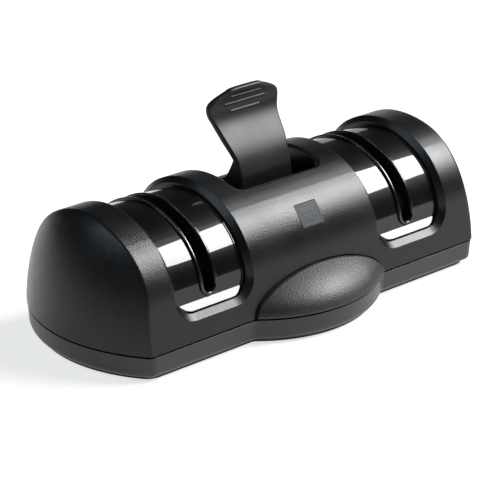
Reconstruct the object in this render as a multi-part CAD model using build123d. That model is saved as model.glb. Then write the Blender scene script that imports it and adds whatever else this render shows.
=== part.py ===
"""Two-stage kitchen-knife sharpener with a suction foot worked by a fold-back lever.

Frame: millimetres, +X along the housing, +Y to the back, +Z up, origin at the centre of the footprint.
Each function makes one named piece, or a small group of identical pieces, and write() stores it.
"""
from build123d import *
import os
from math import cos, degrees, hypot, pi, radians, sin, sqrt, tan

# ---------------------------------------------------------------- driving dimensions
CREST_Z = 46.7            # top of the housing arch
CREST_R = 34.1            # radius of the arch over the crest
CREST_ANGLE = 33.0        # half angle of the crest arc, from vertical
SHOULDER_R = 25.9         # radius of the arch at its shoulders
WALL_LEAN = 9.0           # lean of the lower walls from vertical
SEAM_Z = 8.8              # parting plane between housing and base
SEAM_GAP = 0.7            # shadow gap at the parting plane
WALL = 2.8                # housing wall
CORNER_X = 70.5           # where the long walls meet the rounded ends
END_SAGITTA = 11.8        # how far the ends bow out beyond the corners
END_LEAN = 14.9           # how far the ends draw in by the crest
END_POWER = 1.67          # fullness of the end profile
END_RISE = 0.7            # the end profile tops out this far above the crest
CREASE_R = 1.5            # rounding where long walls meet the ends

SLOT_X = 43.3             # centre of each knife slot from the middle
WINDOW_X = (28.8, 57.7)   # side walls of each window opening
WINDOW_Z = 17.3           # sill of each window opening
WINDOW_CORNER = 6.5       # radius of the two lower window corners
WINDOW_BEVEL = 1.8        # bevel round each window opening
COVER_INSET = 3.0         # window cover surface below the housing surface
COVER_T = 2.0             # window cover wall
COVER_FLANGE = 3.0        # how far the cover reaches behind the housing wall
COVER_RIM = 0.5           # width of the fine step round the cover
COVER_STEP = 0.35         # height of that step
TOE_TOP_Z = 20.2          # top of the sloping toe at the foot of each cover
TOE_OUT = 1.8             # how far the toe leans out

CHANNEL = 4.6             # knife channel width
SLOT_END_Z = 20.6         # lowest point of the slot rim, front and back
LIP_H = 0.8               # height of the rounded lip over the cover
LIP_R = 0.45              # rounding of the lip
GUIDE_WALL = 1.1          # wall of the slot guide
GUIDE_FLANGE = 1.2        # width of the hidden flange that stops the guide behind the cover
GUIDE_DEPTH = 6.0         # how far the guide hangs below the cover surface

KNIFE_Z = 27.0            # height of the crossing of the two wheels, where the edge runs
WHEEL_R = 9.0
WHEEL_T = 3.0
WHEEL_TILT = 18.0         # each wheel's lean from the blade plane
WHEEL_DROP = 5.0          # wheel centre below the crossing, in its own plane
WHEEL_Y = 9.7             # wheel centres ahead of and behind the middle
WHEEL_BEVEL = 0.4
BUSH_R = 3.0
BUSH_L = 4.0
AXLE_R = 1.25
AXLE_PLAY = 0.06          # radial running clearance
CHEEK_IN = 7.0            # inner face of a cartridge cheek from the slot centre
CHEEK_T = 2.4
CARTRIDGE_Y = 21.0        # half length of the cartridge
CARTRIDGE_Z = (9.5, 27.5)
CARTRIDGE_FLOOR = 2.0

POCKET_X = 18.0           # half width of the lever pocket
POCKET_FRONT_Y = -11.7
POCKET_BACK_Y = 8.6
POCKET_FLOOR_Z = 33.0
POCKET_WALL = 1.8
POCKET_CORNER = 3.0       # radius of the upright corners of the well
POCKET_MOUTH_R = 1.2      # rounding of the mouth of the well
TRAY_INSET = 5.2          # floor of the lever tray below the housing surface
TRAY_END_Z = 25.0

PIVOT = (-0.5, 38.5)      # lever pin, (y, z)
FOLD = 90.0               # degrees from upright to folded
LIFT = 2.4                # rise of the pin over that fold
CAM_GAP = 0.2             # play between cam and pocket floor
CAM_R = PIVOT[1] - POCKET_FLOOR_Z - CAM_GAP
HUB_X = (5.0, 11.0)       # cam cheeks, from the middle
LEVER_T = 2.3
BLADE_EDGE_R = 0.8
LEVER_TOP_Z = 71.6
PIN_R = 1.75
RIDGES = ((63.6, 6.0), (66.2, 8.4), (68.6, 6.2))   # grip ridges: (z, half length)
RIDGE_R = 0.45

STEM_X = 8.0
STEM_Y = 6.0
STEM_R = 2.6
STEM_EYE_R = 3.8
STEM_GUIDE_Z = 28.0
SPIGOT_R = 2.0
STEM_PLAY = 0.3
COLLAR_Z = 10.0
COLLAR_T = 1.6
PLATE_R = 7.5
PLATE_Z = 8.4
PLATE_T = 1.6
SPRING_R = 6.6
SPRING_WIRE_R = 0.6
SPRING_TURNS = 6

PAD_HALF = 28.0           # half width of the front pad
PAD_OUT = 10.4            # how far it stands out at the seam
PAD_TOP_Z = 20.2
PAD_PROUD = 0.7           # the pad's rim stands this far above the wall round it
PAD_EDGE_R = 0.6
PAD_GAP = 0.5
PAD_SEAT = 1.4            # depth of its seat in the front wall

BASE_Z = 1.3              # underside of the base tray
BASE_FLOOR_T = 2.2
BASE_WALL = 2.6
PAN_R = 25.8              # recess over the suction cup
PAN_Z = 6.4
PAN_T = 1.8
PAN_HOLE_R = 8.5
CUP_R = 24.0
FOOT_INSET = 2.7
FOOT_W = 4.5
SCREW_XY = (66.0, 17.0)
SCREW_R = 1.5
SCREW_HEAD_R = 2.8
SCREW_HEAD_T = 1.7
SCREW_SEAT_Z = 3.5        # the screws' heads bear here
SCREW_TIP_Z = 20.0
CARTRIDGE_SCREW_Y = 15.0
CARTRIDGE_SCREW_TIP_Z = 11.2
POST_R = 3.8
FOOT_CORNER = 6.0
BASE_CORNER = 3.6         # plan radius of the base corners
BASE_HEEL_R = 3.0         # plan radius where the bulge leaves the front wall
BASE_EDGE_R = 1.8         # rounding of the lower edge

MARK_SIZE = (9.2, 6.2)    # plain plaque on the front
MARK_X = 1.2
MARK_Z = 35.0
MARK_SEAT = 0.3
MARK_PROUD = 0.1

FIT = 0.3                 # general gap between neighbours
BOTTOM = (Align.CENTER, Align.CENTER, Align.MIN)

FAR = 120.0               # larger than the object, for cutting tools

os.makedirs("parts", exist_ok=True)


def write(name, shape):
    """Store one node."""
    export_step(shape, f"parts/{name}.step")


def block(x0, x1, y0, y1, z0, z1):
    """A box between two corners."""
    return Pos((x0 + x1) / 2, (y0 + y1) / 2, (z0 + z1) / 2) * Box(x1 - x0, y1 - y0, z1 - z0)


# ---------------------------------------------------------------- the housing's outer form
HALF_DEPTH = ((CREST_R - SHOULDER_R) * sin(radians(CREST_ANGLE)) + SHOULDER_R * cos(radians(WALL_LEAN))
              + (CREST_Z - CREST_R + (CREST_R - SHOULDER_R) * cos(radians(CREST_ANGLE))
                 + SHOULDER_R * sin(radians(WALL_LEAN)) - SEAM_Z) * tan(radians(WALL_LEAN)))
END_R = (HALF_DEPTH ** 2 + END_SAGITTA ** 2) / (2 * END_SAGITTA)
END_CENTRE_X = CORNER_X + END_SAGITTA - END_R


def arch_face(inset=0.0, bottom=SEAM_Z):
    """The housing's cross-section in the YZ plane, drawn in by inset."""
    crest, shoulder = CREST_R - inset, SHOULDER_R - inset
    a, b = radians(CREST_ANGLE), radians(90 - WALL_LEAN)
    centre_z = CREST_Z - CREST_R
    side_y, side_z = (CREST_R - SHOULDER_R) * sin(a), centre_z + (CREST_R - SHOULDER_R) * cos(a)
    join = (crest * sin(a), centre_z + crest * cos(a))
    middle = (side_y + shoulder * sin((a + b) / 2), side_z + shoulder * cos((a + b) / 2))
    knee = (side_y + shoulder * sin(b), side_z + shoulder * cos(b))
    foot = (knee[0] + (knee[1] - bottom) * tan(radians(WALL_LEAN)), bottom)

    def left(p):
        return (-p[0], p[1])

    outline = [
        ThreePointArc(left(join), (0, centre_z + crest), join),
        ThreePointArc(join, middle, knee),
        Line(knee, foot),
        Line(foot, left(foot)),
        Line(left(foot), left(knee)),
        ThreePointArc(left(knee), left(middle), left(join)),
    ]
    return Plane.YZ * make_face(outline)


def arch(x0, x1, inset=0.0, bottom=SEAM_Z):
    """A length of the arch between two stations along X."""
    return extrude(Pos(x0, 0, 0) * arch_face(inset, bottom), x1 - x0)


def end_form(inset=0.0):
    """A turned body whose side is the bowed, inward-leaning end of the housing, centred on the Z axis."""
    height = CREST_Z + END_RISE - SEAM_Z
    steps = 8
    points = []
    for i in range(steps + 1):
        rise = 1 - (1 - i / steps) ** 2
        draw_in = END_LEAN * (1 - (1 - rise ** END_POWER) ** (1 / END_POWER))
        points.append((END_R - inset - draw_in, SEAM_Z + rise * height - inset))
    side = Spline(points, tangents=[(-0.02, 1), (-1, 0)])
    top, low = points[-1], points[0]
    under = 20.0
    outline = [
        Line((0, low[1] - under), (low[0], low[1] - under)),
        Line((low[0], low[1] - under), low),
        side,
        Line(top, (0, top[1])),
        Line((0, top[1]), (0, low[1] - under)),
    ]
    return revolve(Plane.XZ * make_face(outline), Axis.Z)


def housing_form(inset=0.0, bottom=SEAM_Z):
    """The whole housing envelope, drawn in by inset."""
    middle = arch(-END_CENTRE_X, END_CENTRE_X, inset, bottom)
    turned = end_form(inset)
    right = arch(END_CENTRE_X, FAR, inset, bottom) & Pos(END_CENTRE_X, 0, 0) * turned
    left = arch(-FAR, -END_CENTRE_X, inset, bottom) & Pos(-END_CENTRE_X, 0, 0) * turned
    return middle + right + left


def outline(inset=0.0, corner=BASE_CORNER):
    """The plan of the base: long walls, bowed ends and the front bulge, drawn in by inset."""
    d = HALF_DEPTH - inset
    x = CORNER_X - inset * 0.75
    tip = CORNER_X + END_SAGITTA - inset
    bulge = PAD_HALF - inset * 0.4
    body = [
        ThreePointArc((x, -d), (tip, 0), (x, d)),
        Line((x, d), (-x, d)),
        ThreePointArc((-x, d), (-tip, 0), (-x, -d)),
        Line((-x, -d), (x, -d)),
    ]
    plan = make_face(body)
    plan = fillet(plan.vertices(), corner)
    swell = make_face([
        ThreePointArc((-bulge, -d), (0, -d - PAD_OUT), (bulge, -d)),
        Polyline((bulge, -d), (bulge, -d + 5), (-bulge, -d + 5), (-bulge, -d)),
    ])
    plan += swell
    heels = [v for v in plan.vertices() if abs(v.X) < bulge + 0.1 and v.Y < 0]
    return fillet(heels, BASE_HEEL_R)


def opening(centre_x, grow=0.0, bottom=WINDOW_Z):
    """A front-to-back cutter with the front view of one window: straight sides and round lower corners."""
    half = (WINDOW_X[1] - WINDOW_X[0]) / 2 + grow
    low = bottom - grow
    corner = WINDOW_CORNER + grow
    cutter = block(-half, half, -FAR / 2, FAR / 2, low, FAR)
    lower = [e for e in cutter.edges().filter_by(Axis.Y) if e.center().Z < low + 1]
    return Pos(centre_x, 0, 0) * fillet(lower, corner)


def channel(centre_x, half, bottom):
    """A front-to-back cutter with the front view of a knife slot: parallel sides and a round lower end."""
    tall = block(-half, half, -FAR / 2, FAR / 2, bottom + half, FAR)
    end = Pos(0, 0, bottom + half) * Rot(X=90) * Cylinder(half, FAR)
    return Pos(centre_x, 0, 0) * (tall + end)


WINDOW_CENTRE = (WINDOW_X[0] + WINDOW_X[1]) / 2
SIDES = {"left": -1, "right": 1}


def pocket(grow=0.0):
    """The space for the lever: a deep well round the hub and a shallow tray down the back."""
    half = POCKET_X + grow
    well = block(-half, half, POCKET_FRONT_Y - grow, POCKET_BACK_Y + grow, POCKET_FLOOR_Z - grow, FAR)
    upright = [e for e in well.edges().filter_by(Axis.Z) if e.center().Y < 0]
    well = fillet(upright, POCKET_CORNER + grow)
    tray = block(-half, half, 0, FAR / 2, TRAY_END_Z - grow, FAR) - arch(-half, half, TRAY_INSET + grow, 0)
    return well + tray


def front_pad_form(grow=0.0):
    """The lens-shaped swelling on the front: an oval column that ends in a flattened ball."""
    ball_r = (PAD_HALF ** 2 + PAD_OUT ** 2) / (2 * PAD_OUT)
    centre_y = ball_r - PAD_OUT - HALF_DEPTH
    wall_y = HALF_DEPTH - (PAD_TOP_Z - SEAM_Z) * tan(radians(WALL_LEAN))
    flatten = (PAD_TOP_Z - SEAM_Z) / sqrt(ball_r ** 2 - (wall_y + centre_y) ** 2)
    ball = scale(Sphere(ball_r + PAD_PROUD), (1, 1, flatten))
    lens = Ellipse(PAD_HALF + grow, PAD_TOP_Z - SEAM_Z + grow)
    prism = extrude(Pos(0, 0, SEAM_Z) * (Plane.XZ * lens), FAR)
    return prism & (Pos(0, centre_y, SEAM_Z) * ball)


def upper_housing():
    """The moulded shell with its window openings, lever well, screw posts and front pad seat."""
    form = housing_form()
    creases = [e for e in form.edges() if not within(e, CORNER_X - 5) and e.bounding_box().max.Z > SEAM_Z + 5]
    form = fillet(creases, CREASE_R) - pocket()
    mouth = [e for e in form.edges() if on_surface(e) and within(e, POCKET_X)]
    shell = fillet(mouth, POCKET_MOUTH_R) - (housing_form(WALL) - pocket(POCKET_WALL))
    for side in SIDES.values():
        shell -= opening(side * WINDOW_CENTRE)
    rims = [e for e in shell.edges()
            if on_surface(e) and within(e, WINDOW_X[1]) and not within(e, WINDOW_X[0] - 1)]
    shell = chamfer(rims, WINDOW_BEVEL)

    stem_hole = block(-STEM_X / 2 - STEM_PLAY, STEM_X / 2 + STEM_PLAY,
                      PIVOT[0] - STEM_Y / 2 - STEM_PLAY, PIVOT[0] + STEM_Y / 2 + STEM_PLAY,
                      POCKET_FLOOR_Z - 5, POCKET_FLOOR_Z + 1)
    shell -= stem_hole
    for x, y in corners(SCREW_XY):
        post = Pos(x, y, 0) * Cylinder(POST_R, FAR, align=BOTTOM)
        shell += post & housing_form(WALL / 2)
        shell -= Pos(x, y, 0) * Cylinder(SCREW_R, SCREW_TIP_Z + 1, align=BOTTOM)
    shell -= front_pad_form(PAD_GAP) - arch(-FAR, FAR, PAD_SEAT, 0)
    shell -= mark(0)
    return shell - block(-FAR, FAR, -FAR, FAR, -FAR, SEAM_Z + SEAM_GAP / 2)


def within(edge, reach):
    """True for an edge that stays within reach of the middle along X."""
    box = edge.bounding_box()
    return max(abs(box.min.X), abs(box.max.X)) < reach + 0.1


def on_surface(edge, inset=0.0):
    """True for an edge that lies on the arch surface drawn in by inset, away from the parting plane."""
    p = edge.position_at(0.37)
    return abs(arch_depth(p.Y, p.Z) - inset) < 0.05 and p.Z > SEAM_Z + 2


def arch_depth(y, z):
    """How far a point lies below the arch surface, over the crest and shoulders."""
    a = radians(CREST_ANGLE)
    centre_z = CREST_Z - CREST_R
    side_y, side_z = (CREST_R - SHOULDER_R) * sin(a), centre_z + (CREST_R - SHOULDER_R) * cos(a)
    y = abs(y)
    if y <= tan(a) * (z - centre_z):
        return CREST_R - hypot(y, z - centre_z)
    lean = radians(WALL_LEAN)
    if (z - side_z) > tan(lean) * (y - side_y):
        return SHOULDER_R - hypot(y - side_y, z - side_z)
    return SHOULDER_R - (y - side_y) * cos(lean) - (z - side_z) * sin(lean)


def corners(xy):
    """The four mirrored places of a point in plan."""
    return [(sx * xy[0], sy * xy[1]) for sx in (-1, 1) for sy in (-1, 1)]


def mark(proud):
    """A small plain plaque that follows the front of the arch."""
    x0, x1 = MARK_X - MARK_SIZE[0] / 2, MARK_X + MARK_SIZE[0] / 2
    band = arch(x0, x1, -proud) - arch(x0, x1, MARK_SEAT)
    return band & block(x0, x1, -FAR, 0, MARK_Z - MARK_SIZE[1] / 2, MARK_Z + MARK_SIZE[1] / 2)


def front_thumb_pad():
    """The swelling for the steadying hand, seated in a shallow recess of the front wall."""
    pad = front_pad_form() - arch(-FAR, FAR, PAD_SEAT, 0)
    pad &= block(-FAR, FAR, -FAR, 0, SEAM_Z + SEAM_GAP / 2, FAR)
    rim = [e for e in pad.edges() if e.length > 2 * PAD_HALF + 1 and e.center().Y < -HALF_DEPTH + PAD_SEAT]
    return fillet(rim, PAD_EDGE_R)


def window_cover(side):
    """The glossy arch behind one window, with a fine stepped rim, a toe front and back, and the slot."""
    low_z = WINDOW_Z - COVER_FLANGE
    x0, x1 = WINDOW_X[0] - COVER_FLANGE, WINDOW_X[1] + COVER_FLANGE
    cover = arch(x0, x1, COVER_INSET, low_z) - arch(x0, x1, COVER_INSET + COVER_T, 0)
    step = arch(x0, x1, COVER_INSET - COVER_STEP, low_z) - arch(x0, x1, COVER_INSET, 0)
    rim = opening(WINDOW_CENTRE, -FIT) - opening(WINDOW_CENTRE, -FIT - COVER_RIM)
    cover += step & rim
    cover += toe(x0, x1) & opening(WINDOW_CENTRE, -FIT - COVER_RIM)
    cover -= channel(SLOT_X, CHANNEL / 2 + GUIDE_WALL + FIT / 2, SLOT_END_Z - FIT / 2)
    if side < 0:
        cover = mirror(cover, Plane.YZ)
    return cover


def toe(x0, x1):
    """The ramp at the foot of the window cover, front and back."""
    lean = tan(radians(WALL_LEAN))
    top_y = HALF_DEPTH - (TOE_TOP_Z - SEAM_Z) * lean - COVER_INSET / cos(radians(WALL_LEAN))
    low_y, low_z = top_y + TOE_OUT, WINDOW_Z + FIT + COVER_RIM
    ramp = make_face(Polyline((top_y - 1, TOE_TOP_Z), (top_y, TOE_TOP_Z), (low_y, low_z), (top_y - 1, low_z),
                              close=True))
    back = extrude(Pos(x0, 0, 0) * (Plane.YZ * ramp), x1 - x0)
    return back + mirror(back, Plane.XZ)


def slot_guide(side):
    """The liner of one knife slot: a wall with a rounded lip over the cover, and a flange behind it."""
    reach = 8.0
    x0, x1 = SLOT_X - reach, SLOT_X + reach
    half = CHANNEL / 2 + GUIDE_WALL
    inner = channel(SLOT_X, CHANNEL / 2, SLOT_END_Z + GUIDE_WALL)
    outer = channel(SLOT_X, half, SLOT_END_Z)
    wide = channel(SLOT_X, half + GUIDE_FLANGE, SLOT_END_Z - GUIDE_FLANGE)
    wall = arch(x0, x1, COVER_INSET - LIP_H, 0) - arch(x0, x1, COVER_INSET + GUIDE_DEPTH, -1)
    wall = (wall & outer) - inner
    wall = fillet([e for e in wall.edges() if on_surface(e, COVER_INSET - LIP_H)], LIP_R)
    behind = COVER_INSET + COVER_T + FIT / 2
    flange = arch(x0, x1, behind, 0) - arch(x0, x1, behind + GUIDE_WALL, -1)
    guide = wall + ((flange & wide) - inner)
    if side < 0:
        guide = mirror(guide, Plane.YZ)
    return guide


# ---------------------------------------------------------------- sharpening wheels
def wheel_place(slot_x, end):
    """Where a wheel sits: its plane leans by the tilt, and it lies ahead of or behind the middle."""
    lean = radians(WHEEL_TILT) * end
    x = slot_x - WHEEL_DROP * sin(lean)
    z = KNIFE_Z - WHEEL_DROP * cos(lean)
    return Pos(x, -end * WHEEL_Y, z) * Rot(Y=degrees(lean)) * Rot(Y=90)


def wheel(slot_x, end):
    """A grinding disc with bevelled rim, bored for its bush."""
    disc = Cylinder(WHEEL_R, WHEEL_T)
    disc = chamfer(disc.edges(), WHEEL_BEVEL)
    return wheel_place(slot_x, end) * (disc - Cylinder(BUSH_R, FAR))


def bush(slot_x, end):
    """The flanged sleeve that a wheel turns on."""
    sleeve = Cylinder(BUSH_R, BUSH_L) - Cylinder(AXLE_R + AXLE_PLAY, FAR)
    return wheel_place(slot_x, end) * sleeve


def axles(slot_x):
    """The two tilted axle pins of one slot, cut flush with the cartridge cheeks."""
    reach = CHEEK_IN + CHEEK_T
    span = block(slot_x - reach, slot_x + reach, -FAR, FAR, 0, FAR)
    return [(wheel_place(slot_x, end) * Cylinder(AXLE_R, 4 * reach)) & span for end in (1, -1)]


def wheel_cartridge(slot_x):
    """The open cradle that carries one pair of wheels: a floor, two cheeks and bosses for the axles."""
    low, high = CARTRIDGE_Z
    out = CHEEK_IN + CHEEK_T
    cradle = block(-out, out, -CARTRIDGE_Y, CARTRIDGE_Y, low, high)
    top = [e for e in cradle.edges().filter_by(Axis.X) if e.center().Z > high - 1]
    cradle = Pos(slot_x, 0, 0) * fillet(top, CARTRIDGE_Z[1] - CARTRIDGE_Z[0] - 8)
    gap = block(slot_x - CHEEK_IN, slot_x + CHEEK_IN, -FAR, FAR, low + CARTRIDGE_FLOOR, FAR)
    cradle -= gap
    for y in (-CARTRIDGE_Y, CARTRIDGE_Y - CARTRIDGE_FLOOR):
        cradle += block(slot_x - CHEEK_IN, slot_x + CHEEK_IN, y, y + CARTRIDGE_FLOOR, low, low + 5)
    clear = BUSH_L / 2 + FIT
    for end in (1, -1):
        boss = Cylinder(BUSH_R - 0.4, FAR) - Cylinder(FAR, 2 * clear)
        cradle += (wheel_place(slot_x, end) * boss) & gap
        cradle -= wheel_place(slot_x, end) * Cylinder(AXLE_R, FAR)
    for y in (-CARTRIDGE_SCREW_Y, CARTRIDGE_SCREW_Y):
        cradle -= Pos(slot_x, y, 0) * Cylinder(SCREW_R, low + CARTRIDGE_FLOOR - 0.1, align=BOTTOM)
    return cradle


# ---------------------------------------------------------------- lever and suction gear
def blade_front():
    """The front face of the lever blade in the YZ plane: up, leaning back, then up again."""
    return Spline((-5.85, 38.5), (-5.0, 47.0), (-3.5, 50.7), (1.6, 57.6), (4.6, 62.0), (5.4, 65.4),
                  (4.8, 68.8), (3.2, LEVER_TOP_Z + 1), tangents=[(0, 1), (-0.45, 1)])


def blade():
    """The lever blade, flared towards its rounded tip."""
    front = blade_front()
    steps = 10
    back_points = []
    for i in range(steps + 1):
        p, t = front @ (i / steps), front % (i / steps)
        back_points.append((p.X + LEVER_T * t.Y, p.Y - LEVER_T * t.X))
    back = Spline(back_points)
    section = make_face([front, back, Line(front @ 0, back @ 0), Line(front @ 1, back @ 1)])
    slab = extrude(Plane.YZ * section, 20, both=True)
    side = Spline((11.0, 47.0), (12.4, 54.5), (13.8, 61.0), (15.0, 65.3), tangents=[(0, 1), (0, 1)])
    tip = Spline((15.0, 65.3), (13.6, 68.0), (8.0, 70.6), (0, LEVER_TOP_Z), tangents=[(0, 1), (-1, 0)])
    half = make_face([side, tip, Polyline((0, LEVER_TOP_Z), (0, 30), (11, 30), (11, 47))])
    shape = extrude(Plane.XZ * half, 40, both=True)
    plain = slab & (shape + mirror(shape, Plane.YZ))
    edges = [e for e in plain.edges() if e.center().Z > 47 and e.geom_type != GeomType.LINE]
    return fillet(edges, BLADE_EDGE_R)


def cam():
    """The cam cheek in the YZ plane about the pin: its height over the floor grows evenly with the fold."""
    rise = LIFT / radians(FOLD)
    start, stop = 0.0, radians(FOLD + 8)
    points = []
    for i in range(7):
        turn = start + (stop - start) * i / 6
        h = CAM_R + rise * turn
        points.append((h * sin(turn) + rise * cos(turn), -h * cos(turn) + rise * sin(turn)))
    involute = Spline(points, tangents=[(1, 0), (cos(stop), sin(stop))])
    last = points[-1]
    profile = [
        Line((0, -CAM_R), points[0]),
        involute,
        Spline(last, (3.2, 4.2), (0.4, 8.2), (-1.2, 12.0), tangents=[(-0.8, 0.35), (-0.2, 1)]),
        Line((-1.2, 12.0), (-2.8, 12.0)),
        Spline((-2.8, 12.0), (-4.2, 8.0), (-CAM_R, 0), tangents=[(-0.3, -1), (0, -1)]),
        ThreePointArc((-CAM_R, 0), (-CAM_R * sin(pi / 4), -CAM_R * cos(pi / 4)), (0, -CAM_R)),
    ]
    return Pos(0, *PIVOT) * (Plane.YZ * make_face(profile))


def lever():
    """The suction lever: blade, two cam cheeks and grip ridges."""
    body = blade()
    cheek = extrude(cam(), HUB_X[1] - HUB_X[0])
    body += [Pos(HUB_X[0], 0, 0) * cheek, Pos(-HUB_X[1], 0, 0) * cheek]
    body -= Pos(0, *PIVOT) * Rot(Y=90) * Cylinder(STEM_EYE_R + 0.6, 2 * HUB_X[0])
    body -= Pos(0, *PIVOT) * Rot(Y=90) * Cylinder(PIN_R + AXLE_PLAY, FAR)
    front = blade_front()
    for z, half in RIDGES:
        y = next((front @ (i / 200)).X for i in range(201) if (front @ (i / 200)).Y >= z)
        bar = Rot(Y=90) * Cylinder(RIDGE_R, 2 * half)
        body += Pos(0, y + RIDGE_R * 0.35, z) * (bar + [Pos(s * half, 0, 0) * Sphere(RIDGE_R) for s in (-1, 1)])
    return body


def lever_pin():
    """The cross pin through the stem's eye, on which the lever turns."""
    pin = chamfer(Cylinder(PIN_R, 2 * HUB_X[1] - 0.6).edges(), 0.3)
    return Pos(0, *PIVOT) * Rot(Y=90) * pin


def suction_stem():
    """The pull rod: an eye for the pin, a square guide, a round shank, a spring collar and a spigot."""
    y, z = PIVOT
    eye = Pos(0, y, z) * Rot(Y=90) * Cylinder(STEM_EYE_R, STEM_X)
    guide = block(-STEM_X / 2, STEM_X / 2, y - STEM_Y / 2, y + STEM_Y / 2, STEM_GUIDE_Z, z)
    shank = Pos(0, 0, COLLAR_Z) * Cylinder(STEM_R, STEM_GUIDE_Z - COLLAR_Z + 1, align=BOTTOM)
    collar = Pos(0, 0, COLLAR_Z) * Cylinder(PLATE_R, COLLAR_T, align=BOTTOM)
    spigot = Pos(0, 0, PLATE_Z) * Cylinder(SPIGOT_R, COLLAR_Z - PLATE_Z + 0.5, align=BOTTOM)
    stem = eye + guide + shank + collar + spigot
    return stem - Pos(0, y, z) * Rot(Y=90) * Cylinder(PIN_R, FAR)


def pressure_plate():
    """The steel disc that spreads the stem's pull over the boss of the cup."""
    plate = Pos(0, 0, PLATE_Z) * Cylinder(PLATE_R, PLATE_T, align=BOTTOM)
    return plate - Cylinder(SPIGOT_R, FAR)


def suction_cup():
    """The rubber cup: a shallow dish with a solid boss."""
    rim_t = 0.9
    hollow_z = 2.8
    underside = ThreePointArc((CUP_R - 1.4, 0), (CUP_R * 0.58, 1.9), (PLATE_R, hollow_z))
    upper = ThreePointArc((PLATE_R, 5.0), (CUP_R * 0.68, 3.3), (CUP_R, rim_t))
    section = make_face([
        underside,
        Line((PLATE_R, hollow_z), (0, hollow_z)),
        Line((0, hollow_z), (0, PLATE_Z)),
        Line((0, PLATE_Z), (PLATE_R, PLATE_Z)),
        Line((PLATE_R, PLATE_Z), (PLATE_R, 5.0)),
        upper,
        Line((CUP_R, rim_t), (CUP_R, 0)),
        Line((CUP_R, 0), (CUP_R - 1.4, 0)),
    ])
    return revolve(Plane.XZ * section, Axis.Z)


def return_spring():
    """The coil spring between the collar and the underside of the well."""
    low = COLLAR_Z + COLLAR_T + SPRING_WIRE_R
    high = POCKET_FLOOR_Z - POCKET_WALL - SPRING_WIRE_R
    path = Helix((high - low) / SPRING_TURNS, high - low, SPRING_R, center=(0, 0, low))
    wire = Plane(path @ 0, z_dir=path % 0) * Circle(SPRING_WIRE_R)
    return sweep(wire, path)


# ---------------------------------------------------------------- base
def base_tray():
    """The lower shell: drafted walls with a rounded lower edge, the suction pan and the screw bosses."""
    top = SEAM_Z - SEAM_GAP / 2
    tray = loft([Pos(0, 0, BASE_Z) * outline(0.6), Pos(0, 0, top) * outline(0.2)], ruled=True)
    tray = fillet([e for e in tray.edges() if e.bounding_box().max.Z < BASE_Z + 0.1], BASE_EDGE_R)
    floor_z = BASE_Z + BASE_FLOOR_T
    hollow = extrude(Pos(0, 0, floor_z) * outline(BASE_WALL), FAR)
    pan = Cylinder(PAN_R + PAN_T, PAN_Z + PAN_T, align=BOTTOM)
    bosses = [Pos(x, y, BASE_Z) * Cylinder(POST_R, SEAM_Z + SEAM_GAP / 2 - BASE_Z, align=BOTTOM)
              for x, y in corners(SCREW_XY)]
    pillars = [Pos(x, y, BASE_Z) * Cylinder(POST_R, CARTRIDGE_Z[0] - BASE_Z, align=BOTTOM)
               for x, y in corners((SLOT_X, CARTRIDGE_SCREW_Y))]
    inner = tray & pan
    tray = tray - hollow + inner + bosses + pillars
    tray -= Cylinder(PAN_R, PAN_Z, align=BOTTOM)
    tray -= Cylinder(PAN_HOLE_R, FAR)
    for x, y in corners(SCREW_XY) + corners((SLOT_X, CARTRIDGE_SCREW_Y)):
        tray -= Pos(x, y, 0) * Cylinder(SCREW_R + 0.1, FAR, align=BOTTOM)
        tray -= Pos(x, y, 0) * Cylinder(SCREW_HEAD_R + FIT, SCREW_SEAT_Z, align=BOTTOM)
    return tray


def foot_ring():
    """The rubber tread round the edge of the underside."""
    ring = outline(FOOT_INSET, FOOT_CORNER) - outline(FOOT_INSET + FOOT_W)
    ring = extrude(ring, BASE_Z)
    return ring - Cylinder(PAN_R + 0.4, FAR)


def screw(tip_z):
    """A pan-head screw standing head down, with a cross recess."""
    head = Pos(0, 0, SCREW_SEAT_Z - SCREW_HEAD_T) * Cylinder(SCREW_HEAD_R, SCREW_HEAD_T, align=BOTTOM)
    shank = Pos(0, 0, SCREW_SEAT_Z) * Cylinder(SCREW_R, tip_z - SCREW_SEAT_Z, align=BOTTOM)
    arm = Box(3.2, 0.8, 1.6)
    recess = Pos(0, 0, SCREW_SEAT_Z - SCREW_HEAD_T) * (arm + Rot(Z=90) * arm)
    return head + shank - recess


def screws(places, tip_z):
    """Several identical screws as separate solids."""
    return Compound(children=[Pos(x, y, 0) * screw(tip_z) for x, y in places])


def main():
    """Write every node."""
    write("upper_housing", upper_housing())
    write("base_tray", base_tray())
    write("front_thumb_pad", front_thumb_pad())
    write("mark_plate", mark(MARK_PROUD))
    write("foot_ring", foot_ring())
    stages = {"left": "coarse", "right": "fine"}
    for name, side in SIDES.items():
        write(f"window_cover_{name}", window_cover(side))
        write(f"slot_guide_{name}", slot_guide(side))
        write(f"wheel_cartridge_{name}", wheel_cartridge(side * SLOT_X))
        write(f"wheel_axles_{name}", Compound(children=axles(side * SLOT_X)))
        for place, end in {"front": 1, "rear": -1}.items():
            write(f"{stages[name]}_wheel_{place}", wheel(side * SLOT_X, end))
            write(f"{stages[name]}_bush_{place}", bush(side * SLOT_X, end))
    write("lever", lever())
    write("lever_pin", lever_pin())
    write("suction_stem", suction_stem())
    write("return_spring", return_spring())
    write("pressure_plate", pressure_plate())
    write("suction_cup", suction_cup())
    write("housing_screws", screws(corners(SCREW_XY), SCREW_TIP_Z))
    write("cartridge_screws", screws(corners((SLOT_X, CARTRIDGE_SCREW_Y)), CARTRIDGE_SCREW_TIP_Z))


if __name__ == "__main__":
    main()
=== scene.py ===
"""Looks of the two-slot knife sharpener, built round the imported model. Metres, +Z up, +Y to the back."""
import math

import bmesh
import bpy
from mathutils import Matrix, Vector
from mathutils.bvhtree import BVHTree


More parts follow.
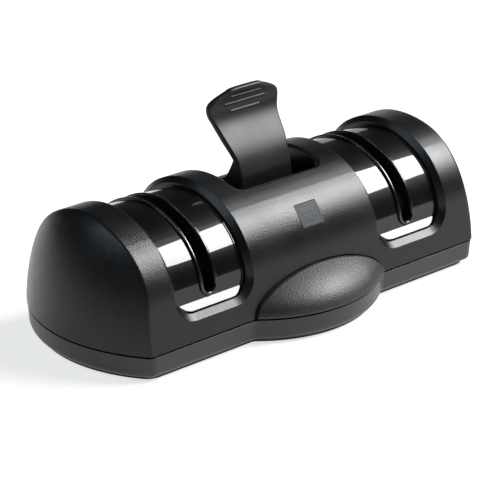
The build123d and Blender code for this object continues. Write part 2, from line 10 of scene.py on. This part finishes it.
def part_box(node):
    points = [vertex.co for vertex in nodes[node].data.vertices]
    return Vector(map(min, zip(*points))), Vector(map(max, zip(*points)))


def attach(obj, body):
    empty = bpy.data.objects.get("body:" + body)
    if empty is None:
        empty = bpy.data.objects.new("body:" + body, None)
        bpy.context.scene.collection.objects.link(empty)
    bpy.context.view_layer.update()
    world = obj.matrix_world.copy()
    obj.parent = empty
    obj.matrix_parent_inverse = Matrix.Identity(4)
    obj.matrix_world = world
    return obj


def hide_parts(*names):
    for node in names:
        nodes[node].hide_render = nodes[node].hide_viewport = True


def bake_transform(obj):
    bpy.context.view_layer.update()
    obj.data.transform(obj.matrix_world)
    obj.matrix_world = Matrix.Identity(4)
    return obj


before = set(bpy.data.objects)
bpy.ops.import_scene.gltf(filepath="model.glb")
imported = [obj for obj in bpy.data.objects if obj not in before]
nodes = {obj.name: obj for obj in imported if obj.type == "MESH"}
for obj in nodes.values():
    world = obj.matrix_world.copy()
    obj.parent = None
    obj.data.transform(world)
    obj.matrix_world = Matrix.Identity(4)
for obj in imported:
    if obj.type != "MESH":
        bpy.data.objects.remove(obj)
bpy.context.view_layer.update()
MM = 0.001

# ---------------------------------------------------------------- camera
LENS_MM = 167.4
SENSOR_MM = 36.0
CAMERA_AZIMUTH = math.radians(-41.3)
CAMERA_ELEVATION = math.radians(23.33)
CAMERA_DISTANCE = 0.7727
CAMERA_TARGET = Vector((-0.0023, 0.0, 0.0152))


def make_camera():
    """The camera at the chosen viewing angle."""
    data = bpy.data.cameras.new("camera")
    data.lens = LENS_MM
    data.sensor_width = SENSOR_MM
    data.clip_start = 0.05
    data.clip_end = 50.0
    camera = bpy.data.objects.new("camera", data)
    bpy.context.scene.collection.objects.link(camera)
    back = Vector((
        math.sin(CAMERA_AZIMUTH) * math.cos(CAMERA_ELEVATION),
        -math.cos(CAMERA_AZIMUTH) * math.cos(CAMERA_ELEVATION),
        math.sin(CAMERA_ELEVATION),
    ))
    camera.location = CAMERA_TARGET + back * CAMERA_DISTANCE
    camera.rotation_mode = "QUATERNION"
    camera.rotation_quaternion = back.to_track_quat("Z", "Y")
    bpy.context.scene.camera = camera


# ---------------------------------------------------------------- light and floor
KEY_LOW = Vector((0.727, -0.587, 0.705))      # middle of the softbox's lower edge
KEY_HIGH = Vector((0.727, -0.229, 0.929))     # middle of its upper edge
KEY_WIDTH = 0.75
KEY_POWER = 30.0
SIDE_PLACE = Vector((-0.99, 0.3, 1.05))       # weak cool light from the left
SIDE_SIZE = (1.0, 0.8)
SIDE_POWER = 7.0
EDGE_PLACE = Vector((1.3, 0.8, 0.22))         # low card that outlines the right-hand rims
EDGE_SIZE = (1.0, 0.4)
EDGE_POWER = 1.0
WORLD_STRENGTH = 0.03
WORLD_TINT = (0.85, 0.93, 1.0)
SIDE_TINT = (0.72, 0.88, 1.0)
LIGHT_AIM = (0, 0, 0.03)                      # all lights face the middle of the housing
FLOOR_HALF = 3.0
FLOOR_DROP = 0.0002
FLOOR_GLOW = 0.70
FLOOR_ALBEDO = 0.4
FLOOR_ROUGH = 0.7


def area_light(name, place, size, power, colour=(1, 1, 1)):
    """A rectangular softbox that faces the object."""
    data = bpy.data.lights.new(name, "AREA")
    data.shape = "RECTANGLE"
    data.size, data.size_y = size
    data.energy = power
    data.color = colour
    lamp = bpy.data.objects.new(name, data)
    bpy.context.scene.collection.objects.link(lamp)
    lamp.location = place
    lamp.rotation_mode = "QUATERNION"
    lamp.rotation_quaternion = (place - Vector(LIGHT_AIM)).to_track_quat("Z", "Y")


def make_stage():
    """A dark room, a key softbox, two weak cards and a pale table lit softly from within."""
    scene = bpy.context.scene
    scene.view_settings.view_transform = "Standard"
    world = bpy.data.worlds.new("studio")
    scene.world = world
    world.use_nodes = True
    background = world.node_tree.nodes["Background"]
    background.inputs["Color"].default_value = (*WORLD_TINT, 1)
    background.inputs["Strength"].default_value = WORLD_STRENGTH
    key_height = (KEY_HIGH - KEY_LOW).length
    area_light("key", (KEY_LOW + KEY_HIGH) / 2, (KEY_WIDTH, key_height), KEY_POWER)
    area_light("side", SIDE_PLACE, SIDE_SIZE, SIDE_POWER, SIDE_TINT)
    area_light("edge", EDGE_PLACE, EDGE_SIZE, EDGE_POWER)

    half = FLOOR_HALF
    mesh = bpy.data.meshes.new("floor")
    square = [(-half, -half, 0), (half, -half, 0), (half, half, 0), (-half, half, 0)]
    mesh.from_pydata(square, [], [(0, 1, 2, 3)])
    floor = bpy.data.objects.new("floor", mesh)
    scene.collection.objects.link(floor)
    floor.location.z = -FLOOR_DROP
    table = bpy.data.materials.new("floor")
    table.use_nodes = True
    shader = table.node_tree.nodes["Principled BSDF"]
    shader.inputs["Base Color"].default_value = (FLOOR_ALBEDO, FLOOR_ALBEDO, FLOOR_ALBEDO, 1)
    shader.inputs["Roughness"].default_value = FLOOR_ROUGH
    shader.inputs["Emission Color"].default_value = (1, 1, 1, 1)
    shader.inputs["Emission Strength"].default_value = FLOOR_GLOW
    mesh.materials.append(table)


# ---------------------------------------------------------------- materials
NOISE_ROUGH = 0.55        # how much the finer octaves of the noise count
BLOTCH_MM = 14.0          # size of the broad colour blotches
GRAIN_SHARE = 0.5         # the grain's part in a finish, beside the blotches
PATCH_MM = 3.0            # size of the patches in which edges are worn
EDGE_POLISH = -0.06       # change of roughness on worn edges
HAIR_MM = 0.5             # spacing of the hairline scuffs on polished plastic
HAIR_DEPTH = 0.02         # their depth beside the moulding flow
FLOW_MM = 9.0
SKIN_DEPTH_MM = 0.012     # relief of the clear skin


def add(tree, kind, inputs=None, **settings):
    """A shader node with its settings, and its inputs set or linked."""
    item = tree.nodes.new("ShaderNode" + kind)
    for key, value in settings.items():
        setattr(item, key, value)
    for key, value in (inputs or {}).items():
        if isinstance(value, bpy.types.NodeSocket):
            tree.links.new(value, item.inputs[key])
        else:
            item.inputs[key].default_value = value
    return item


def spread(tree, value, low, high, start=0.0, stop=1.0):
    """A value mapped from start..stop to low..high."""
    limits = {"Value": value, "From Min": start, "From Max": stop, "To Min": low, "To Max": high}
    item = add(tree, "MapRange", limits)
    return item.outputs["Result"]


def tinted(tree, factor, first, second):
    """A colour between two, by factor."""
    item = add(tree, "Mix", data_type="RGBA")
    tree.links.new(factor, item.inputs[0])
    for socket, colour in ((item.inputs[6], first), (item.inputs[7], second)):
        if isinstance(colour, bpy.types.NodeSocket):
            tree.links.new(colour, socket)
        else:
            socket.default_value = (*colour, 1)
    return item.outputs[2]


def noise(tree, place, size_mm, detail=2.0, stretch=None):
    """Soft noise whose features are about size_mm wide, drawn out along an axis if stretch is given."""
    if stretch:
        place = add(tree, "Mapping", {"Vector": place, "Scale": stretch}).outputs["Vector"]
    settings = {"Vector": place, "Scale": 1 / (size_mm * MM), "Detail": detail, "Roughness": NOISE_ROUGH}
    return add(tree, "TexNoise", settings).outputs["Fac"]


def edges_mask(tree, radius_mm):
    """1 on edges and ridges narrower than the radius and 0 on open surfaces, with the rounded normal."""
    soft = add(tree, "Bevel", {"Radius": radius_mm * MM}, samples=4).outputs["Normal"]
    true = add(tree, "NewGeometry").outputs["Normal"]
    alike = add(tree, "VectorMath", operation="DOT_PRODUCT")
    tree.links.new(soft, alike.inputs[0])
    tree.links.new(true, alike.inputs[1])
    return spread(tree, alike.outputs["Value"], 1.0, 0.0, 0.86, 0.99), soft


def material(name, dark, light, rough, grain_mm, depth_mm, worn, edge_mm=0.3, stretch=None, **uniform):
    """A finish with broad colour blotches, fine grain in colour, roughness and relief, and paler worn edges.

    dark, light and worn are colours, rough is the range of roughness, and stretch draws the grain out along an
    axis. uniform gives the Principled inputs that are the same all over.
    """
    mat = bpy.data.materials.new(name)
    mat.use_nodes = True
    tree = mat.node_tree
    shader = tree.nodes["Principled BSDF"]
    for key, value in uniform.items():
        shader.inputs[key.replace("_", " ")].default_value = value
    place = add(tree, "TexCoord").outputs["Object"]
    blotch = noise(tree, place, BLOTCH_MM, 4.0)
    grain = noise(tree, place, grain_mm, 3.0, stretch)
    both = add(tree, "Math", operation="MULTIPLY_ADD")
    tree.links.new(grain, both.inputs[0])
    both.inputs[1].default_value = GRAIN_SHARE
    tree.links.new(spread(tree, blotch, 0.0, 1 - GRAIN_SHARE, 0.3, 0.7), both.inputs[2])
    colour = tinted(tree, both.outputs["Value"], dark, light)
    edge, soft = edges_mask(tree, edge_mm)
    patchy = add(tree, "Math", operation="MULTIPLY")
    tree.links.new(edge, patchy.inputs[0])
    tree.links.new(spread(tree, noise(tree, place, PATCH_MM), 0.0, 1.0, 0.35, 0.65), patchy.inputs[1])
    colour = tinted(tree, patchy.outputs["Value"], colour, worn)
    tree.links.new(colour, shader.inputs["Base Color"])
    finish = add(tree, "Math", operation="MULTIPLY_ADD")
    tree.links.new(patchy.outputs["Value"], finish.inputs[0])
    finish.inputs[1].default_value = EDGE_POLISH
    tree.links.new(spread(tree, both.outputs["Value"], rough[0], rough[1], 0.25, 0.75), finish.inputs[2])
    tree.links.new(finish.outputs["Value"], shader.inputs["Roughness"])
    relief = {"Strength": 1.0, "Distance": depth_mm * MM, "Height": grain, "Normal": soft}
    bump = add(tree, "Bump", relief)
    tree.links.new(bump.outputs["Normal"], shader.inputs["Normal"])
    return mat


def polish(mat):
    """A clear skin over a satin body, with hairline scuffs and faint moulding flow."""
    tree = mat.node_tree
    place = add(tree, "TexCoord").outputs["Object"]
    hair = noise(tree, place, HAIR_MM, 2.0, (0.05, 1.0, 1.0))
    flow = noise(tree, place, FLOW_MM, 1.0)
    relief = add(tree, "Math", operation="MULTIPLY_ADD")
    tree.links.new(spread(tree, hair, 0.0, HAIR_DEPTH, 0.66, 0.72), relief.inputs[0])
    relief.inputs[1].default_value = 1.0
    tree.links.new(flow, relief.inputs[2])
    skin = {"Strength": 1.0, "Distance": SKIN_DEPTH_MM * MM, "Height": relief.outputs["Value"]}
    bump = add(tree, "Bump", skin)
    tree.links.new(bump.outputs["Normal"], tree.nodes["Principled BSDF"].inputs["Coat Normal"])


BLACK = {"dark": (0.0022, 0.0022, 0.0024), "light": (0.0055, 0.0055, 0.006), "worn": (0.016, 0.016, 0.017)}
FINISHES = {
    "body_plastic": dict(BLACK, rough=(0.28, 0.35), grain_mm=0.45, depth_mm=0.07, Specular_IOR_Level=0.3),
    "base_plastic": dict(BLACK, rough=(0.36, 0.43), grain_mm=0.5, depth_mm=0.05),
    "pad_plastic": dict(BLACK, rough=(0.44, 0.52), grain_mm=0.6, depth_mm=0.11, Specular_IOR_Level=0.55),
    "lever_plastic": dict(BLACK, rough=(0.40, 0.46), grain_mm=0.45, depth_mm=0.02, Specular_IOR_Level=0.3),
    "inner_plastic": dict(BLACK, rough=(0.45, 0.55), grain_mm=0.5, depth_mm=0.02, edge_mm=0.2),
    "guide_plastic": dict(BLACK, rough=(0.14, 0.22), grain_mm=0.5, depth_mm=0.003, Specular_IOR_Level=0.6),
    "cover_gloss": dict(
        dark=(0.0012, 0.0012, 0.0014), light=(0.0026, 0.0026, 0.0028), worn=(0.01, 0.01, 0.01),
        rough=(0.30, 0.38), grain_mm=0.6, depth_mm=0.0006, edge_mm=0.25,
        Coat_Weight=1.0, Coat_Roughness=0.035, Coat_IOR=1.38, Specular_IOR_Level=0.08),
    "mark_grey": dict(
        dark=(0.035, 0.038, 0.041), light=(0.055, 0.06, 0.064), worn=(0.09, 0.095, 0.1),
        rough=(0.55, 0.65), grain_mm=0.3, depth_mm=0.004, edge_mm=0.1, Specular_IOR_Level=0.2),
    "bush_plastic": dict(
        dark=(0.62, 0.61, 0.56), light=(0.74, 0.73, 0.68), worn=(0.85, 0.84, 0.8),
        rough=(0.35, 0.5), grain_mm=0.5, depth_mm=0.006, edge_mm=0.2),
    "stem_plastic": dict(
        dark=(0.6, 0.59, 0.55), light=(0.72, 0.71, 0.67), worn=(0.85, 0.84, 0.8),
        rough=(0.35, 0.5), grain_mm=0.5, depth_mm=0.006, edge_mm=0.2),
    "coarse_grit": dict(
        dark=(0.08, 0.08, 0.085), light=(0.42, 0.41, 0.4), worn=(0.5, 0.5, 0.5),
        rough=(0.3, 0.65), grain_mm=0.16, depth_mm=0.09, edge_mm=0.15, Metallic=0.7),
    "fine_ceramic": dict(
        dark=(0.74, 0.72, 0.66), light=(0.9, 0.89, 0.84), worn=(0.6, 0.59, 0.56),
        rough=(0.5, 0.65), grain_mm=0.12, depth_mm=0.02, edge_mm=0.15),
    "steel": dict(
        dark=(0.42, 0.42, 0.43), light=(0.62, 0.62, 0.63), worn=(0.75, 0.75, 0.75),
        rough=(0.2, 0.36), grain_mm=0.2, depth_mm=0.004, edge_mm=0.15, stretch=(0.08, 1.0, 1.0), Metallic=1.0),
    "spring_steel": dict(
        dark=(0.3, 0.3, 0.31), light=(0.5, 0.5, 0.5), worn=(0.6, 0.6, 0.6),
        rough=(0.22, 0.4), grain_mm=0.25, depth_mm=0.004, edge_mm=0.1, stretch=(1.0, 1.0, 0.2), Metallic=1.0),
    "screw_steel": dict(
        dark=(0.42, 0.42, 0.4), light=(0.6, 0.6, 0.57), worn=(0.75, 0.75, 0.75),
        rough=(0.28, 0.42), grain_mm=0.35, depth_mm=0.006, edge_mm=0.15, Metallic=1.0),
    "rubber": dict(
        dark=(0.006, 0.006, 0.0065), light=(0.014, 0.014, 0.015), worn=(0.03, 0.03, 0.03),
        rough=(0.6, 0.75), grain_mm=0.6, depth_mm=0.012, Sheen_Weight=0.05),
}


def make_materials():
    """Every finish, by the record's slot name."""
    made = {name: material(name, **settings) for name, settings in FINISHES.items()}
    polish(made["cover_gloss"])
    return made


SLOT_OF = {
    "upper_housing": "body_plastic",
    "base_tray": "base_plastic",
    "front_thumb_pad": "pad_plastic",
    "mark_plate": "mark_grey",
    "foot_ring": "rubber",
    "window_cover": "cover_gloss",
    "slot_guide": "guide_plastic",
    "wheel_cartridge": "inner_plastic",
    "wheel_axles": "steel",
    "coarse_wheel": "coarse_grit",
    "fine_wheel": "fine_ceramic",
    "coarse_bush": "bush_plastic",
    "fine_bush": "bush_plastic",
    "lever_pin": "steel",
    "lever": "lever_plastic",
    "suction_stem": "stem_plastic",
    "return_spring": "spring_steel",
    "pressure_plate": "steel",
    "suction_cup": "rubber",
    "housing_screws": "screw_steel",
    "cartridge_screws": "screw_steel",
}


def slot_of(node_name):
    """The slot of a node: the longest key that its name starts with."""
    return SLOT_OF[max((key for key in SLOT_OF if node_name.startswith(key)), key=len)]


# ---------------------------------------------------------------- mesh pieces
def new_piece(name, mesh, slot, smooth=True):
    """An object for a finished mesh, with the material of its slot."""
    piece = bpy.data.objects.new(name, mesh)
    bpy.context.scene.collection.objects.link(piece)
    if smooth:
        mesh.polygons.foreach_set("use_smooth", [True] * len(mesh.polygons))
    mesh.materials.append(finishes[slot])
    return piece


def lathe(name, profile, steps):
    """A surface turned about Z from (radius, height) points in metres, closed by its ends on the axis."""
    bm = bmesh.new()
    rings = []
    for radius, height in profile:
        if radius < 1e-7:
            rings.append([bm.verts.new((0, 0, height))])
            continue
        turns = [2 * math.pi * i / steps for i in range(steps)]
        rings.append([
            bm.verts.new((radius * math.cos(a), radius * math.sin(a), height)) for a in turns
        ])
    for below, above in zip(rings, rings[1:]):
        for i in range(steps):
            j = (i + 1) % steps
            lower = [below[i % len(below)], below[j % len(below)]]
            upper = [above[j % len(above)], above[i % len(above)]]
            bm.faces.new(list(dict.fromkeys(lower + upper)))
    bmesh.ops.recalc_face_normals(bm, faces=bm.faces)
    mesh = bpy.data.meshes.new(name)
    bm.to_mesh(mesh)
    bm.free()
    return mesh


def tube(name, centres, radius, sides=14):
    """A capped round wire through a list of centres, with its section kept upright."""
    bm = bmesh.new()
    rings = []
    for i, centre in enumerate(centres):
        along = (centres[min(i + 1, len(centres) - 1)] - centres[max(i - 1, 0)]).normalized()
        side = along.cross(Vector((0, 0, 1))).normalized()
        up = side.cross(along)
        turns = [2 * math.pi * k / sides for k in range(sides)]
        spokes = [side * math.cos(a) + up * math.sin(a) for a in turns]
        rings.append([bm.verts.new(centre + radius * spoke) for spoke in spokes])
    for below, above in zip(rings, rings[1:]):
        for k in range(sides):
            bm.faces.new((below[k], below[(k + 1) % sides], above[(k + 1) % sides], above[k]))
    bm.faces.new(list(reversed(rings[0])))
    bm.faces.new(rings[-1])
    bmesh.ops.recalc_face_normals(bm, faces=bm.faces)
    mesh = bpy.data.meshes.new(name)
    bm.to_mesh(mesh)
    bm.free()
    return mesh


def arc_points(first, last, bulge, count):
    """Points of a shallow curve between two (radius, height) points, bowed by bulge at its middle."""
    points = []
    for i in range(count + 1):
        t = i / count
        radius = first[0] + (last[0] - first[0]) * t
        height = first[1] + (last[1] - first[1]) * t + 4 * bulge * t * (1 - t)
        points.append((radius, height))
    return points


def suction_cup():
    """The rubber cup: a feathered lip with sealing ribs below, a stepped skirt and a solid boss above."""
    _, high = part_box("suction_cup")
    reach, top = high.x, high.z
    boss = 7.4 * MM
    rib = 0.12 * MM
    rib_from, rib_to, rib_pitch = 2.2, 7.0, 1.6    # from the rim, in millimetres
    lip = 0.9 * MM
    under = arc_points((reach - 1.5 * MM, 0.0), (boss, 2.8 * MM), 0.35 * MM, 40)
    ribbed = []
    for radius, height in under:
        place = (reach - radius) / MM
        swing = 0.5 + 0.5 * math.cos(2 * math.pi * (place - rib_from - rib_pitch / 2) / rib_pitch)
        wave = rib * swing if rib_from < place < rib_to else 0.0
        ribbed.append((radius, height - wave))
    upper = arc_points((boss + 0.8 * MM, 4.9 * MM), (reach - 0.3 * MM, lip), -0.5 * MM, 30)
    profile = [(0.0, 2.9 * MM)] + list(reversed(ribbed))
    profile += [(reach - 0.9 * MM, 0.0), (reach - 0.3 * MM, 0.12 * MM)]
    profile += [(reach, 0.4 * MM), (reach - 0.08 * MM, 0.75 * MM)]
    profile += list(reversed(upper))
    profile += [(boss + 0.2 * MM, 5.3 * MM), (boss, 5.9 * MM)]
    profile += [(boss, top - 0.5 * MM), (boss - 0.5 * MM, top), (0.0, top)]
    piece = new_piece("suction_cup_rubber", lathe("suction_cup_rubber", profile, 128), "rubber")
    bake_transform(piece)
    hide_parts("suction_cup")


def return_spring():
    """The coil spring, with its end turns closed and flat as on a ground spring."""
    low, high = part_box("return_spring")
    wire = 0.6 * MM
    radius = high.x - wire
    turns = 6
    per_turn = 48
    closed = 0.75             # turns at each end that lie against each other
    closed_pitch = 2 * wire * 1.02
    start, stop = low.z + wire, high.z - wire
    centres = []
    for i in range(turns * per_turn + 1):
        t = i / (turns * per_turn)
        eased = min(max((t * turns - closed) / (turns - 2 * closed), 0.0), 1.0)
        angle = 2 * math.pi * turns * t
        closing = min(t * turns, closed) + max(t * turns - (turns - closed), 0.0)
        height = start + closing * closed_pitch + eased * (stop - start - 2 * closed * closed_pitch)
        centres.append(Vector((radius * math.cos(angle), radius * math.sin(angle), height)))
    piece = new_piece("return_spring_wire", tube("return_spring_wire", centres, wire), "spring_steel")
    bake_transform(piece)
    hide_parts("return_spring")


def surface_probe(node_name):
    """A function that finds the front surface of a node at (x, z): the point and its outward normal."""
    bm = bmesh.new()
    bm.from_mesh(nodes[node_name].data)
    tree = BVHTree.FromBMesh(bm)
    bm.free()

    def probe(x, z):
        point, normal, _, _ = tree.ray_cast(Vector((x, -1.0, z)), Vector((0, 1, 0)))
        return point, normal
    return probe


def mark_plaque():
    """The small grey plaque on the arch: a raised frame, a field and a plain emblem of a blade over a notch."""
    low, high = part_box("mark_plate")
    probe = surface_probe("mark_plate")
    inset = 0.03 * MM
    columns, rows = 60, 48
    border_u, border_v = 0.75 / 10.0, 0.75 / 8.5      # width of the raised frame, as a share of the plaque
    x0, x1 = low.x + inset, high.x - inset
    z0, z1 = low.z + inset, high.z - inset

    def height(u, v):
        """1 where the plaque is raised, 0 on its field, with u and v from 0 to 1 across and up it."""
        frame_line = min(u, 1 - u) < border_u or min(v, 1 - v) < border_v
        blade = 0.62 < v < 0.74 and 0.18 < u < 0.82 - (v - 0.62) * 1.5
        handle = 0.60 < v < 0.76 and 0.12 < u < 0.34
        notch = abs(abs(u - 0.5) - (v - 0.2) * 0.55) < 0.045 and 0.2 < v < 0.52
        return 1.0 if frame_line or blade or handle or notch else 0.0

    relief = 0.05 * MM
    sunk = 0.06 * MM
    thickness = 0.25 * MM
    bm = bmesh.new()
    front = []
    for j in range(rows + 1):
        line = []
        for i in range(columns + 1):
            u, v = i / columns, j / rows
            point, normal = probe(x0 + (x1 - x0) * u, z0 + (z1 - z0) * v)
            line.append(bm.verts.new(point + normal * (relief * height(u, v) - sunk)))
        front.append(line)
    for j in range(rows):
        for i in range(columns):
            bm.faces.new((front[j][i], front[j][i + 1], front[j + 1][i + 1], front[j + 1][i]))
    skin = bmesh.ops.extrude_face_region(bm, geom=list(bm.faces))
    moved = [item for item in skin["geom"] if isinstance(item, bmesh.types.BMVert)]
    bmesh.ops.translate(bm, vec=(0, thickness, 0), verts=moved)
    bmesh.ops.recalc_face_normals(bm, faces=bm.faces)
    mesh = bpy.data.meshes.new("mark_plaque")
    bm.to_mesh(mesh)
    bm.free()
    piece = new_piece("mark_plaque", mesh, "mark_grey", smooth=False)
    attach(piece, "housing")
    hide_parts("mark_plate")


make_camera()
make_stage()
finishes = make_materials()
for node_name, shown in nodes.items():
    for holder in shown.material_slots:
        holder.material = finishes[slot_of(node_name)]
suction_cup()
return_spring()
mark_plaque()
